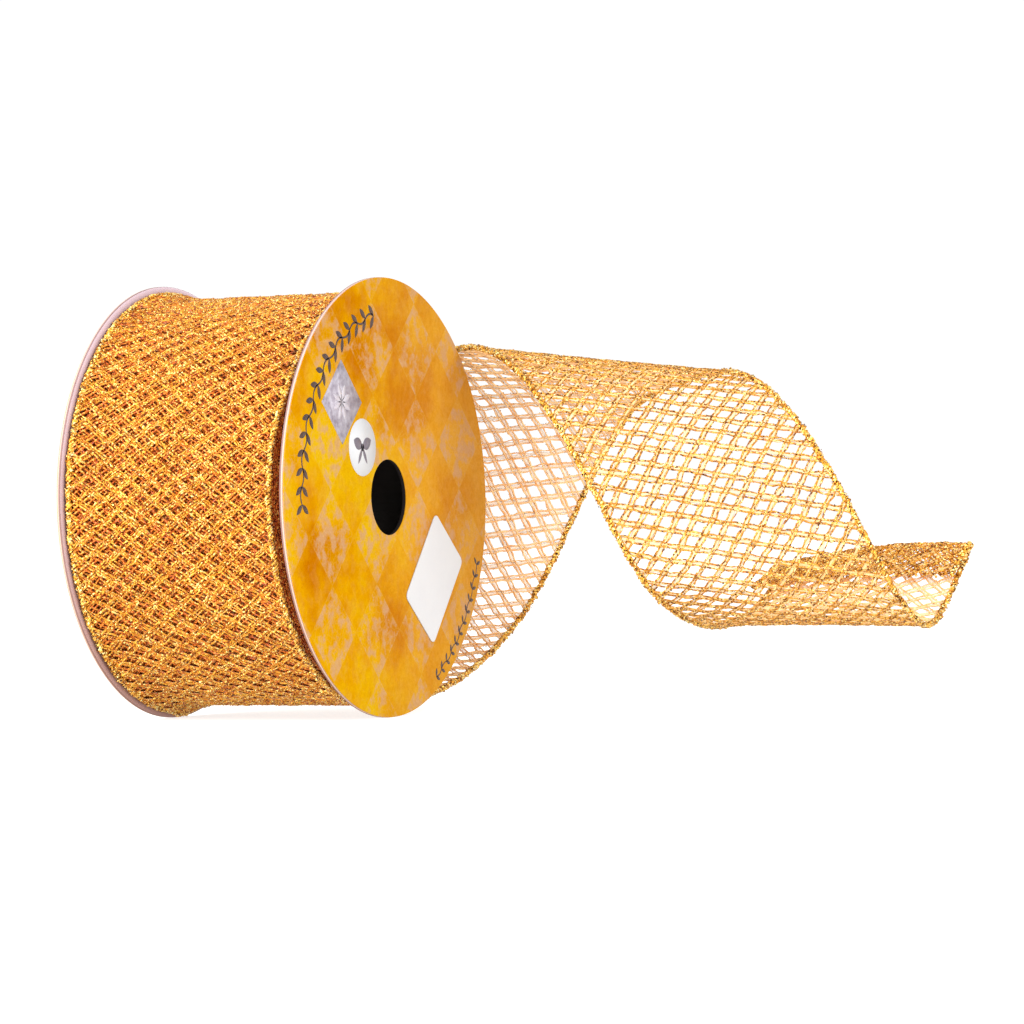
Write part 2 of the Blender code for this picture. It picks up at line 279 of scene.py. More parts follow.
def edge_route(edge):
    """One edge of the tail seen along the helix's lines: arc length, distance back and height."""
    arc = np.arange(-RIBBON_WIDTH, BACK_EDGE_ARC + ARC_SPARE, ARC_STEP)
    bend = np.zeros_like(arc)
    begin = TAIL_LEVEL
    previous = 0.0
    for piece in TAIL_ARCS:
        ramp = smooth_step((arc - begin) / ARC_BLEND + 0.5)
        bend += (1 / piece[edge] - previous) * ramp
        previous = 1 / piece[edge]
        begin += piece[0]
    across = RIBBON_START_X + (edge - 1) * RIBBON_WIDTH
    bend[arc < -across * math.sin(HELIX_ANGLE)] = 0.0
    slope = np.concatenate([[0], np.cumsum((bend[1:] + bend[:-1]) / 2 * ARC_STEP)])
    mid_slope = (slope[1:] + slope[:-1]) / 2
    back = arc[0] + np.concatenate([[0], np.cumsum(np.cos(mid_slope) * ARC_STEP)])
    height = -OUTER_RADIUS + np.concatenate([[0], np.cumsum(np.sin(mid_slope) * ARC_STEP)])
    return arc, back, height


BACK_ROUTE = edge_route(1)
FRONT_ROUTE = edge_route(2)


def edge_rise(across):
    """How far the wound ribbon climbs near its back edge."""
    to_edge = RIBBON_START_X + BACK_RISE_WIDTH - across
    return BACK_RISE * smooth_step(to_edge / BACK_RISE_WIDTH)


def corner_tip(across, along):
    """How far the free end's back edge stands out, at one place low on the roll."""
    near_edge = smooth_step((RIBBON_START_X + TIP_WIDTH - across) / TIP_WIDTH)
    return TIP_RISE * near_edge * np.exp(-(((along - TIP_MIDDLE) / TIP_REACH) ** 2))


def turn_spread(across, along):
    """How far the outermost turn is pulled towards the front flange: none at its back edge."""
    angle = -along / OUTER_RADIUS
    pull = LOW_SPREAD * smooth_step(angle / LOW_SPREAD_TURN)
    pull += HIGH_SPREAD * smooth_step((angle - HIGH_SPREAD_START) / HIGH_SPREAD_TURN)
    pull *= 1 - smooth_step((angle - SPREAD_END) / SPREAD_FADE)
    return pull * (across - RIBBON_START_X) / RIBBON_WIDTH


def tail_points(across, along):
    """Points of the tail: across is X on the roll, along the distance from where it leaves it."""
    share = (across - RIBBON_START_X) / RIBBON_WIDTH
    arc = -across * math.sin(HELIX_ANGLE) + along * math.cos(HELIX_ANGLE)
    back, height = (
        (1 - share) * np.interp(arc, BACK_ROUTE[0], BACK_ROUTE[column])
        + share * np.interp(arc, FRONT_ROUTE[0], FRONT_ROUTE[column])
        for column in (1, 2)
    )
    height += SWEEP_LIFT * np.exp(-(((arc - SWEEP_MIDDLE) / SWEEP_REACH) ** 2))
    height -= edge_rise(across) * (1 - smooth_step(along / RISE_FADE))
    height -= corner_tip(across, along)
    pull = smooth_step((arc - END_PULL_START) / (FRONT_EDGE_ARC - END_PULL_START))
    line = across / math.cos(HELIX_ANGLE) + arc * math.tan(HELIX_ANGLE)
    line -= END_PULL * share * pull
    x = line * math.cos(HELIX_ANGLE) - back * math.sin(HELIX_ANGLE)
    y = line * math.sin(HELIX_ANGLE) + back * math.cos(HELIX_ANGLE)
    return np.stack([x, y, height], axis=-1)


def roll_points(across, along, radius, pitch):
    """Points of a turn wound on the roll; along is negative, back from where the ribbon leaves."""
    angle = -along / radius
    reach = radius - pitch * angle / math.tau + edge_rise(across)
    return np.stack([across, -reach * np.sin(angle), -reach * np.cos(angle)], axis=-1)


def fold_line(across):
    """How far along the ribbon the end fold lies: a little earlier at the back edge."""
    share = (across - RIBBON_START_X) / RIBBON_WIDTH
    return TAIL_LENGTH - FOLD_SHORT - FOLD_SLANT * (1 - share)


def folded_points(across, along):
    """Points past the end fold, which turns the last of the ribbon back over its plain side."""
    at_fold = fold_line(across)
    fold = tail_points(across, at_fold)
    onwards = unit(fold - tail_points(across, at_fold - NEARBY))
    inwards = unit(np.cross(tail_points(across + NEARBY, at_fold) - fold, onwards))
    past = along - at_fold
    turn = np.clip(past / FOLD_RADIUS, 0, FOLD_TURN)
    beyond = np.maximum(past - FOLD_RADIUS * FOLD_TURN, 0)
    ahead = FOLD_RADIUS * np.sin(turn) + beyond * math.cos(FOLD_TURN)
    aside = FOLD_RADIUS * (1 - np.cos(turn)) + beyond * math.sin(FOLD_TURN)
    return fold + ahead[..., None] * onwards + aside[..., None] * inwards


def free_points(across, along):
    """Points of the ribbon's free end in the scene: the outermost turn, the tail and the fold."""
    back_along = np.minimum(along, 0)
    placed_across = across + turn_spread(across, back_along)
    radius = OUTER_RADIUS + corner_tip(across, back_along)
    wound = roll_points(placed_across, back_along, radius, TURN_PITCH)
    fold = fold_line(across)
    loose = tail_points(across, np.clip(along, 0, fold))
    folded = folded_points(across, np.maximum(along, fold))
    free = np.where((along < 0)[..., None], wound, loose)
    return np.where((along > fold)[..., None], folded, free) + AXIS


def surface_frame(surface, across, along):
    """Points of the ribbon and its normals on the glitter side, which is outside on the roll."""
    here = surface(across, along)
    side = surface(across + NEARBY, along) - surface(across - NEARBY, along)
    onwards = surface(across, along + NEARBY) - surface(across, along - NEARBY)
    return here, unit(np.cross(onwards, side))


# ---- mesh helpers


def mesh_piece(name, points, faces, material, body, attributes=None, smooth=True):
    """A mesh that rides on a CAD body. Each array in faces holds faces with as many corners."""
    corners = np.concatenate([group.reshape(-1) for group in faces])
    totals = np.concatenate([np.full(len(group), group.shape[1]) for group in faces])
    starts = np.concatenate([[0], np.cumsum(totals)[:-1]])
    mesh = bpy.data.meshes.new(name)
    mesh.vertices.add(len(points))
    mesh.vertices.foreach_set("co", points.astype(np.float32).ravel())
    mesh.loops.add(len(corners))
    mesh.loops.foreach_set("vertex_index", corners.astype(np.int32))
    mesh.polygons.add(len(totals))
    mesh.polygons.foreach_set("loop_start", starts.astype(np.int32))
    mesh.polygons.foreach_set("loop_total", totals.astype(np.int32))
    mesh.update(calc_edges=True)
    mesh.validate()
    for key, values in (attributes or {}).items():
        attribute = mesh.attributes.new(key, "FLOAT", "POINT")
        attribute.data.foreach_set("value", values.astype(np.float32))
    if smooth:
        mesh.shade_smooth()
    mesh.materials.append(material)
    piece = bpy.data.objects.new(name, mesh)
    bpy.context.scene.collection.objects.link(piece)
    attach(piece, body)
    return piece


class Tubes:
    """Collects tubes along paths into one mesh. face_out is 1 on the ribbon's outer side."""

    def __init__(self, sides, glitter_all_round=False):
        self.sides = sides
        self.glitter_all_round = glitter_all_round
        self.points = []
        self.walls = []
        self.caps = []
        self.face_out = []
        self.count = 0

    def add(self, path, normals, half_width, half_height):
        """One tube: half_width lies in the sheet, and half_height stands along its normal."""
        rows = len(path)
        sides = self.sides
        onwards = unit(np.gradient(path, axis=0))
        sideways = unit(np.cross(onwards, normals))
        upward = np.cross(sideways, onwards)
        turns = np.arange(sides) * math.tau / sides + math.pi / 2
        width = np.broadcast_to(half_width, (rows,))[:, None, None]
        height = np.broadcast_to(half_height, (rows,))[:, None, None]
        ring = (
            path[:, None]
            + width * np.cos(turns)[None, :, None] * sideways[:, None]
            + height * np.sin(turns)[None, :, None] * upward[:, None]
        )
        row = np.arange(rows - 1)[:, None] * sides + self.count
        side = np.arange(sides)[None, :]
        next_side = (side + 1) % sides
        wall = [row + side, row + sides + side, row + sides + next_side, row + next_side]
        first = self.count + np.arange(sides)
        self.points.append(ring.reshape(-1, 3))
        self.walls.append(np.stack(wall, axis=-1).reshape(-1, 4))
        self.caps.append(np.stack([first, (first + (rows - 1) * sides)[::-1]]))
        facing = np.ones(sides) if self.glitter_all_round else np.sin(turns)
        self.face_out.append(np.tile(facing, rows))
        self.count += rows * sides

    def build(self, name, material, body):
        points = np.concatenate(self.points)
        faces = [np.concatenate(self.walls), np.concatenate(self.caps)]
        attributes = {"face_out": np.concatenate(self.face_out)}
        return mesh_piece(name, points, faces, material, body, attributes)


def flakes(name, places, normals, size, material, body, source):
    """Loose glitter: a flat grain with four faces at each place, tipped a random way."""
    count = len(places)
    facing = unit(normals + source.normal(0, GRAIN_TIP, (count, 3)))
    first = unit(np.cross(facing, source.normal(0, 1, (count, 3))))
    second = np.cross(facing, first)
    reach = size * source.uniform(*GRAIN_SIZES, count)[:, None]
    corners = [places + facing * reach * GRAIN_PEAK]
    for corner in range(3):
        turn = corner * math.tau / 3
        corners.append(places + reach * (math.cos(turn) * first + math.sin(turn) * second))
    points = np.stack(corners, axis=1).reshape(-1, 3)
    pattern = np.array([(0, 1, 2), (0, 2, 3), (0, 3, 1), (1, 3, 2)])
    faces = (np.arange(count)[:, None, None] * len(corners) + pattern[None]).reshape(-1, 3)
    colours = np.repeat(source.uniform(0, 1, count), len(corners))
    return mesh_piece(name, points, [faces], material, body, {"flake": colours}, smooth=False)


def smooth_noise(values, waves, source, amplitude):
    """A smooth random function: a few sines of random phase."""
    total = np.zeros_like(values)
    for wave in waves:
        total += np.sin(values * math.tau / wave + source.uniform(0, math.tau))
    return total * amplitude / len(waves)


# ---- the net


def yarns(surface, span, source, step=YARN_STEP, phase=0.0, fray=0.0, members=(-0.5, 0.5)):
    """Each yarn between the ribbon's edges, as its path and normals: two families of pairs.

    members are the yarns' places in a pair, and fray is how unevenly they end.
    """
    low_along, high_along = span
    low_x = RIBBON_START_X + NET_INSET
    high_x = RIBBON_START_X + RIBBON_WIDTH - NET_INSET
    slope = math.tan(YARN_ANGLE)
    along_spacing = PAIR_SPACING / math.cos(YARN_ANGLE)
    along_gap = PAIR_GAP / math.cos(YARN_ANGLE)
    weave_length = PAIR_SPACING / math.sin(2 * YARN_ANGLE) * math.cos(YARN_ANGLE)
    reach = (high_x - low_x) * slope
    pairs = range(
        math.floor((low_along - reach) / along_spacing) - 1,
        math.ceil((high_along + reach) / along_spacing) + 2,
    )
    for family, direction in enumerate((1, -1)):
        for pair in pairs:
            for member in members:
                base = pair * along_spacing + member * along_gap + phase
                last_along = high_along + source.uniform(-fray, fray)
                crossings = sorted(
                    RIBBON_START_X + (limit - base) / (direction * slope)
                    for limit in (low_along, last_along)
                )
                begin = max(low_x, crossings[0])
                end = min(high_x, crossings[1])
                if end - begin < step:
                    continue
                count = int((end - begin) / math.cos(YARN_ANGLE) / step) + 3
                x = np.linspace(begin, end, count)
                s = base + direction * slope * (x - RIBBON_START_X) + source.normal(0, YARN_STRAY)
                s = s + smooth_noise(x, YARN_WAVE_LENGTHS, source, YARN_WAVE)
                s = s + smooth_noise(x, YARN_TREMOR_LENGTHS, source, YARN_TREMOR)
                here, normal = surface_frame(surface, x, s)
                crossing = (x - RIBBON_START_X) / weave_length + pair + family
                weave = WEAVE_HEIGHT * np.sin(crossing * math.pi)
                yield here + normal * weave[:, None], normal


def net(name, surface, span, section, material, body, source, stout=1.0, **weave):
    """The ribbon's open net. It also gives the yarns' paths, for what is glued on them."""
    tubes = Tubes(YARN_SIDES)
    paths = []
    for path, normal in yarns(surface, span, source, **weave):
        rough = 1 + source.normal(0, YARN_UNEVEN) + source.normal(0, YARN_ROUGH, len(path))
        rough = stout * np.clip(rough, YARN_THINNEST, YARN_STOUTEST)
        tubes.add(path, normal, section[0] * rough, section[1] * rough)
        paths.append((path, normal))
    return tubes.build(name, material, body), paths


def read_off(at, reach, values):
    """Rows of values at distances along a path, whose rows lie at the distances in reach."""
    return np.stack([np.interp(at, reach, column) for column in values.T], axis=1)


def glued_flakes(name, paths, per_metre, offset, spread, size, material, body, source, lean=75):
    """Grains strewn along yarns or cords, up to lean degrees to either side of their outer side."""
    places = []
    facings = []
    for path, normal in paths:
        reach = np.concatenate([[0], np.cumsum(np.linalg.norm(np.diff(path, axis=0), axis=1))])
        count = source.poisson(reach[-1] * per_metre)
        at = np.sort(source.uniform(0, reach[-1], count))
        sideways = unit(np.cross(np.gradient(path, axis=0), normal))
        aside = read_off(at, reach, sideways)
        tip = source.uniform(-1, 1, count)[:, None] * math.radians(lean)
        outwards = np.cos(tip) * read_off(at, reach, normal) + np.sin(tip) * aside
        glued = read_off(at, reach, path)
        places.append(glued + outwards * (offset + source.normal(0, spread, count)[:, None]))
        facings.append(outwards)
    places = np.concatenate(places)
    return flakes(name, places, np.concatenate(facings), size, material, body, source)


def edge_rope(name, across, span, material, body, source):
    """The looped cord that binds one wired edge: strands twisted round a core, with loops."""
    tubes = Tubes(ROPE_SIDES, glitter_all_round=True)
    count = int((span[1] - span[0]) / ROPE_STEP)
    s = np.linspace(*span, count)
    x = across + smooth_noise(s, ROPE_WAVE_LENGTHS, source, ROPE_WAVE)
    here, normal = surface_frame(free_points, x, s)
    sideways = np.cross(unit(np.gradient(here, axis=0)), normal)
    tubes.add(here, normal, ROPE_CORE, ROPE_CORE)
    for strand in range(ROPE_STRANDS):
        turns = s / ROPE_PITCH * math.tau + strand * math.tau / ROPE_STRANDS
        turns = turns + smooth_noise(s, TWIST_LENGTHS, source, TWIST_STRAY)
        loops = np.abs(smooth_noise(s, LOOP_LENGTHS, source, 1.0))
        reach = STRAND_REACH + loops * LOOP_HEIGHT + source.normal(0, STRAND_STRAY, count)
        outwards = np.cos(turns)[:, None] * normal + np.sin(turns)[:, None] * sideways
        path = here + reach[:, None] * outwards
        size = STRAND_RADIUS * (1 + source.normal(0, STRAND_ROUGH, count))
        tubes.add(path, normal, size, size)
    return tubes.build(name, material, body), [(here, normal)]


def wound_selvage(name, across, material, body, source):
    """The stack of edge cords on the wound turns: one cord that spirals outwards."""
    turns_total = (SELVAGE_HIGH - SELVAGE_LOW) / TURN_PITCH
    angle = np.linspace(0, turns_total * math.tau, int(turns_total * SELVAGE_ROWS))
    radius = SELVAGE_LOW + TURN_PITCH * angle / math.tau
    radius = radius + source.normal(0, SELVAGE_LIFT, len(angle))
    outwards = np.stack([np.zeros_like(angle), np.sin(angle), -np.cos(angle)], axis=1)
    path = AXIS + outwards * radius[:, None]
    path[:, 0] += across + source.normal(0, SELVAGE_STRAY, len(angle))
    tubes = Tubes(ROPE_SIDES, glitter_all_round=True)
    size = SELVAGE_RADIUS * (1 + source.normal(0, SELVAGE_ROUGH, len(angle)))
    tubes.add(path, outwards, size, 0.9 * size)
    return tubes.build(name, material, body)


# ---- turned pieces


def turned(name, profile, material, body):
    """A closed ring turned round the spool's axis; profile is a loop of (x, radius)."""
    turns = np.arange(DISC_STEPS) * math.tau / DISC_STEPS
    rows = len(profile)
    x, radius = np.array(profile).T
    across = np.broadcast_to(x, (DISC_STEPS, rows))
    y = radius * np.sin(turns)[:, None]
    z = -radius * np.cos(turns)[:, None]
    points = np.stack([across, y, z], axis=-1) + AXIS
    step = np.arange(DISC_STEPS)[:, None] * rows
    next_step = (step + rows) % (DISC_STEPS * rows)
    row = np.arange(rows)[None, :]
    next_row = (row + 1) % rows
    quads = [step + row, step + next_row, next_step + next_row, next_step + row]
    quads = np.stack(quads, axis=-1).reshape(-1, 4)
    piece = mesh_piece(name, points.reshape(-1, 3), [quads], material, body)
    piece.data.set_sharp_from_angle(angle=SHARP_ANGLE)
    return piece


def rounded_profile(x_low, x_high, inner, outer, corner):
    """The outline of a washer's section, its four corners rounded."""
    outline = []
    for centre_x, centre_r, first in (
        (x_high - corner, outer - corner, 0.0),
        (x_low + corner, outer - corner, math.pi / 2),
        (x_low + corner, inner + corner, math.pi),
        (x_high - corner, inner + corner, 1.5 * math.pi),
    ):
        for part in range(4):
            turn = first + part / 3 * math.pi / 2
            x = centre_x + corner * math.cos(turn)
            outline.append((x, centre_r + corner * math.sin(turn)))
    return outline[::-1]


def disc_profile(node, radius, corner):
    """The section of a flange's layer, as thick as its CAD node."""
    low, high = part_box(node)
    return rounded_profile(low.x - AXIS[0], high.x - AXIS[0], HOLE_RADIUS, radius, corner)


# ---- materials


class Nodes:
    """Short ways to add and link the nodes of one material."""

    def __init__(self, name):
        self.material = bpy.data.materials.new(name)
        self.material.use_nodes = True
        self.tree = self.material.node_tree
        self.shader = self.tree.nodes["Principled BSDF"]
        self.coordinates = None

    def add(self, kind, **inputs):
        node = self.tree.nodes.new(kind)
        for key, value in inputs.items():
            node.inputs[key].default_value = value
        return node

    def link(self, output, target):
        self.tree.links.new(output, target)

    def feed(self, socket, value):
        """Sets a socket to a number, vector or colour, or links another node's output to it."""
        if isinstance(value, (int, float)):
            socket.default_value = value
        elif isinstance(value, tuple):
            socket.default_value = (*value, 1.0)[: len(socket.default_value)]
        elif value is not None:
            self.link(value, socket)

    def noise(self, scale, detail=3.0, roughness=0.5, vector=None):
        node = self.add("ShaderNodeTexNoise", Scale=scale, Detail=detail, Roughness=roughness)
        self.link(vector or self.place(), node.inputs["Vector"])
        return node.outputs["Fac"]

    def place(self):
        if self.coordinates is None:
            self.coordinates = self.add("ShaderNodeTexCoord")
        return self.coordinates.outputs["Object"]

    def from_axis(self):
        """The place on the spool, from the middle of its axis."""
        return self.vector_maths("SUBTRACT", self.place(), tuple(AXIS))

    def separate(self, kind, value):
        """The three channels of a vector or a colour."""
        node = self.add(f"ShaderNodeSeparate{kind}")
        self.link(value, node.inputs[0])
        return node.outputs

    def attribute(self, name):
        node = self.add("ShaderNodeAttribute")
        node.attribute_name = name
        return node.outputs["Fac"]

    def outside(self):
        """1 on the ribbon's glitter side and 0 on its plain side."""
        return self.clamped(self.attribute("face_out"), 3.0, 0.5)

    def maths(self, operation, *values, kind="Math", output="Value"):
        node = self.add(f"ShaderNode{kind}")
        node.operation = operation
        for socket, value in zip(node.inputs, values):
            self.feed(socket, value)
        return node.outputs[output]

    def vector_maths(self, operation, *values, output="Vector"):
        return self.maths(operation, *values, kind="VectorMath", output=output)

    def clamped(self, value, scale, offset):
        """value times scale, plus offset, kept between 0 and 1."""
        result = self.maths("MULTIPLY_ADD", value, scale, offset)
        result.node.use_clamp = True
        return result

    def ramp(self, factor, stops, interpolation="LINEAR"):
        node = self.add("ShaderNodeValToRGB")
        node.color_ramp.interpolation = interpolation
        elements = node.color_ramp.elements
        while len(elements) < len(stops):
            elements.new(0.5)
        for element, (position, colour) in zip(elements, stops):
            element.position = position
            element.color = (*colour, 1.0)
        self.link(factor, node.inputs["Fac"])
        return node.outputs["Color"]

    def mix(self, factor, first, second, blend="MIX", kind="RGBA"):
        """Two colours or vectors mixed. The Mix node has its own sockets for each kind."""
        first_in, second_in, out = {"RGBA": (6, 7, 2), "VECTOR": (4, 5, 1)}[kind]
        node = self.add("ShaderNodeMix")
        node.data_type = kind
        node.blend_type = blend
        for index, value in ((0, factor), (first_in, first), (second_in, second)):
            self.feed(node.inputs[index], value)
        return node.outputs[out]

    def bump(self, height, distance):
        node = self.add("ShaderNodeBump", Strength=0.5, Distance=distance)
        self.link(height, node.inputs["Height"])
        return node.outputs["Normal"]

    def normal(self):
        return self.add("ShaderNodeNewGeometry").outputs["Normal"]

    def facets(self, scale, tilt):
        """The surface's normal, tipped a random way in each small cell, as glitter flakes lie."""
        cells = self.add("ShaderNodeTexVoronoi", Scale=scale)
        self.link(self.place(), cells.inputs["Vector"])
        colour = cells.outputs["Color"]
        centred = self.vector_maths("SUBTRACT", colour, (0.5, 0.5, 0.5))
        tipped = self.vector_maths("MULTIPLY", centred, (tilt, tilt, tilt))
        total = self.vector_maths("ADD", self.normal(), tipped)
        return self.vector_maths("NORMALIZE", total), colour

    def done(self, colour, roughness, metallic=0.0, normal=None, specular=0.5):
        """Sets the shader's inputs to numbers, colours or other nodes, and gives the material."""
        for name, value in (
            ("Base Color", colour),
            ("Roughness", roughness),
            ("Metallic", metallic),
            ("Normal", normal),
            ("Specular IOR Level", specular),
        ):
            self.feed(self.shader.inputs[name], value)
        return self.material


def tone(red, green, blue):
    """A colour given as it looks on a screen, 0 to 255, as the linear values that shaders take."""
    shares = np.array((red, green, blue)) / 255
    linear = np.where(shares < 0.04045, shares / 12.92, ((shares + 0.055) / 1.055) ** 2.4)
    return tuple(float(value) for value in linear)


def tones(*colours):
    return tuple(tone(*colour) for colour in colours)


def inked(red, green, blue):
    """A colour as it looks on a screen, less what the studio's light adds to paper and ink."""
    return tuple(value * EXPOSURE for value in tone(red, green, blue))


def glitter_material(name, palette):
    """Glitter-coated yarn: flakes that catch the light on the outer side, plain yarn inside. Their
    random colours are partly painted glints and painted dark reflections.
    """
    nodes = Nodes(name)
    normal, random_colour = nodes.facets(1 / FLAKE_SIZE, FLAKE_TILT)
    chance = nodes.separate("Color", random_colour)["Red"]
    flakes = nodes.ramp(chance, tuple(zip(YARN_SHARES, palette)), "CONSTANT")
    patches = nodes.noise(110.0, 2.0)
    shade = nodes.ramp(patches, ((0.30, (0.84, 0.76, 0.66)), (0.62, (1.0, 1.0, 1.0))))
    glitter = nodes.mix(1.0, flakes, shade, "MULTIPLY")
    fibres = nodes.noise(420.0, 3.0, 0.6)
    yarn = nodes.ramp(fibres, tuple(zip((0.35, 0.65), INNER_YARN)))
    outside = nodes.outside()
    colour = nodes.mix(outside, yarn, glitter)
    metallic = nodes.maths("MULTIPLY", outside, 0.40)
    roughness = nodes.maths("MULTIPLY_ADD", outside, -0.42, 0.75)
    normal = nodes.mix(outside, nodes.normal(), normal, kind="VECTOR")
    return nodes.done(colour, roughness, metallic, normal)


def flake_material(name, palette):
    """Loose glitter grains, each of one colour, partly painted glints and painted dark reflections.
    """
    nodes = Nodes(name)
    stops = tuple(zip(GRAIN_SHARES, palette))
    colour = nodes.ramp(nodes.attribute("flake"), stops, "CONSTANT")
    return nodes.done(colour, 0.30, 0.5)


def fibre_material(name, light, deep, roughness, grain=2400.0, depth=0.03 * MM, mottling=90.0):
    """Paper, ink, wire and glue: two screen colours in faint mottling, and fine fibres."""
    nodes = Nodes(name)
    mottle = nodes.noise(mottling, 5.0, 0.6)
    colour = nodes.ramp(mottle, ((0.3, inked(*deep)), (0.7, inked(*light))))
    fibres = nodes.noise(grain, 4.0, 0.7)
    return nodes.done(colour, roughness, 0.0, nodes.bump(fibres, depth))


def gauze_material():
    """The half-clear film between two loose yarns: golden outside and pale inside."""
    nodes = Nodes("pale_gauze")
    mottle = nodes.noise(90.0, 5.0, 0.6)
    golden = nodes.ramp(mottle, ((0.3, tone(238, 184, 98)), (0.7, tone(247, 208, 140))))
    pale = nodes.ramp(mottle, ((0.3, tone(255, 232, 204)), (0.7, tone(255, 246, 232))))
    nodes.shader.inputs["Alpha"].default_value = 0.5
    return nodes.done(nodes.mix(nodes.outside(), pale, golden), 0.9)


def board_material():
    """The flanges' grey-mauve board, with painted shade: browner low down and near the roll, dark
    on the rim's inner half and in the bore.
    """
    nodes = Nodes("mauve_board")
    offset = nodes.from_axis()
    place = nodes.separate("XYZ", offset)
    mottle = nodes.noise(90.0, 5.0, 0.6)
    # Painted shade: the board is darker and browner low down
    height = nodes.maths("MULTIPLY_ADD", place["Z"], 1 / (110 * MM), 0.5)
    height = nodes.maths("ADD", height, nodes.maths("MULTIPLY_ADD", mottle, 0.4, -0.2))
    colour = nodes.ramp(height, ((0.1, tone(168, 136, 130)), (0.9, tone(208, 190, 202))))
    flat = nodes.vector_maths("MULTIPLY", offset, (0, 1, 1))
    radius = nodes.vector_maths("LENGTH", flat, output="Value")
    # Painted shade where the board meets the roll
    roll_shade = nodes.clamped(radius, -1 / SHADE_WIDTH, SHADE_RADIUS / SHADE_WIDTH)
    colour = nodes.mix(nodes.maths("MULTIPLY", roll_shade, 0.75), colour, tone(150, 106, 94))
    # The rim is pale, and its half towards the roll is painted dark as shade
    at_rim = nodes.maths("GREATER_THAN", radius, FLANGE_RADIUS - 0.1 * MM)
    from_middle = nodes.maths("ABSOLUTE", place["X"])
    shaded_rim_half = nodes.maths("LESS_THAN", from_middle, RIM_SHADE_EDGE)
    rim = nodes.mix(shaded_rim_half, inked(236, 200, 176), inked(146, 104, 88))
    colour = nodes.mix(nodes.maths("MULTIPLY", at_rim, 0.85), colour, rim)
    # Painted shade: the wall of the bore is dark
    bore_wall_shade = nodes.maths("LESS_THAN", radius, HOLE_RADIUS + 0.25 * MM)
    colour = nodes.mix(bore_wall_shade, colour, inked(40, 32, 30))
    fibres = nodes.noise(2400.0, 4.0, 0.7)
    return nodes.done(colour, 0.85, 0.0, nodes.bump(fibres, 0.03 * MM), 0.2)


def check_pattern(nodes, place):
    """The print's lozenges: 1 in the plain ones, and 1 along the lines between them."""
    across = nodes.maths("ADD", place["Y"], -CHECK_CENTRE[0])
    upward = nodes.maths("ADD", place["Z"], -CHECK_CENTRE[1])
    coordinates = []
    borders = []
    for operation in ("ADD", "SUBTRACT"):
        sloping = nodes.maths(operation, across, upward)
        coordinate = nodes.maths("ADD", nodes.maths("DIVIDE", sloping, CHECK_DIAGONAL), 0.5)
        coordinates.append(nodes.maths("FLOOR", coordinate))
        to_middle = nodes.maths("SUBTRACT", nodes.maths("FRACT", coordinate), 0.5)
        to_middle = nodes.maths("ABSOLUTE", to_middle)
        borders.append(nodes.maths("GREATER_THAN", to_middle, 0.488))
    plain_cell = nodes.maths("PINGPONG", nodes.maths("ADD", *coordinates), 1.0)
    return plain_cell, nodes.maths("MAXIMUM", *borders)


def print_material():
    """The flanges' print: a gold lozenge check, every other cell mottled, paled to peach towards
    one side by a painted reflection.
    """
    nodes = Nodes("gold_print")
    offset = nodes.from_axis()
    place = nodes.separate("XYZ", offset)
    plain_cell, border = check_pattern(nodes, place)
    mottled_cell = nodes.maths("SUBTRACT", 1.0, plain_cell)

    # Gold in soft washes, paled to peach towards the tail's side by a painted reflection
    washes = nodes.noise(34.0, 3.0, 0.55, offset)
    golds = (inked(224, 140, 0), inked(250, 184, 6), inked(255, 204, 16))
    gold = nodes.ramp(washes, tuple(zip((0.36, 0.50, 0.62), golds)))
    painted_reflection = nodes.maths("MULTIPLY_ADD", place["Y"], 1 / (70 * MM), 0.22)
    painted_reflection = nodes.maths("MULTIPLY", painted_reflection, nodes.maths("MULTIPLY_ADD", washes, 1.5, 0.1))
    painted_reflection.node.use_clamp = True
    ground = nodes.mix(painted_reflection, gold, inked(252, 184, 86))

    # Peach blotches, mostly in the mottled cells
    blotches = nodes.noise(260.0, 5.0, 0.62, offset)
    blotch = nodes.ramp(blotches, ((0.46, (0, 0, 0)), (0.60, (1, 1, 1))))
    in_cell = nodes.maths("MULTIPLY_ADD", mottled_cell, 0.66, 0.10)
    ground = nodes.mix(nodes.maths("MULTIPLY", blotch, in_cell), ground, inked(232, 182, 146))

    # The plain cells are a little deeper, and streaked
    deeper = nodes.maths("MULTIPLY", plain_cell, 0.5)
    ground = nodes.mix(deeper, ground, (0.98, 0.88, 0.55), "MULTIPLY")
    streaks = nodes.noise(620.0, 4.0, 0.6, offset)
    streak = nodes.ramp(streaks, ((0.36, (0.92, 0.84, 0.50)), (0.60, (1, 1, 1))))
    streaked = nodes.maths("MULTIPLY_ADD", plain_cell, 0.35, 0.40)
    ground = nodes.mix(streaked, ground, streak, "MULTIPLY")

    # A fine crackle in the mottled cells, the lines between cells, and the paper's fibres
    cells = nodes.add("ShaderNodeTexVoronoi", Scale=430.0)
    cells.feature = "DISTANCE_TO_EDGE"
    nodes.link(offset, cells.inputs["Vector"])
    crackle = nodes.maths("LESS_THAN", cells.outputs["Distance"], 0.055)
    crackle = nodes.maths("MULTIPLY", nodes.maths("MULTIPLY", crackle, mottled_cell), 0.12)
    ground = nodes.mix(crackle, ground, inked(252, 214, 130))
    ground = nodes.mix(nodes.maths("MULTIPLY", border, 0.10), ground, inked(250, 205, 90))
    fibres = nodes.noise(1900.0, 4.0, 0.7)
    worn = nodes.ramp(fibres, ((0.35, (0.92, 0.88, 0.72)), (0.65, (1, 1, 1))))
    ground = nodes.mix(1.0, ground, worn, "MULTIPLY")
    return nodes.done(ground, 0.42, 0.0, nodes.bump(fibres, 0.012 * MM), 0.0)
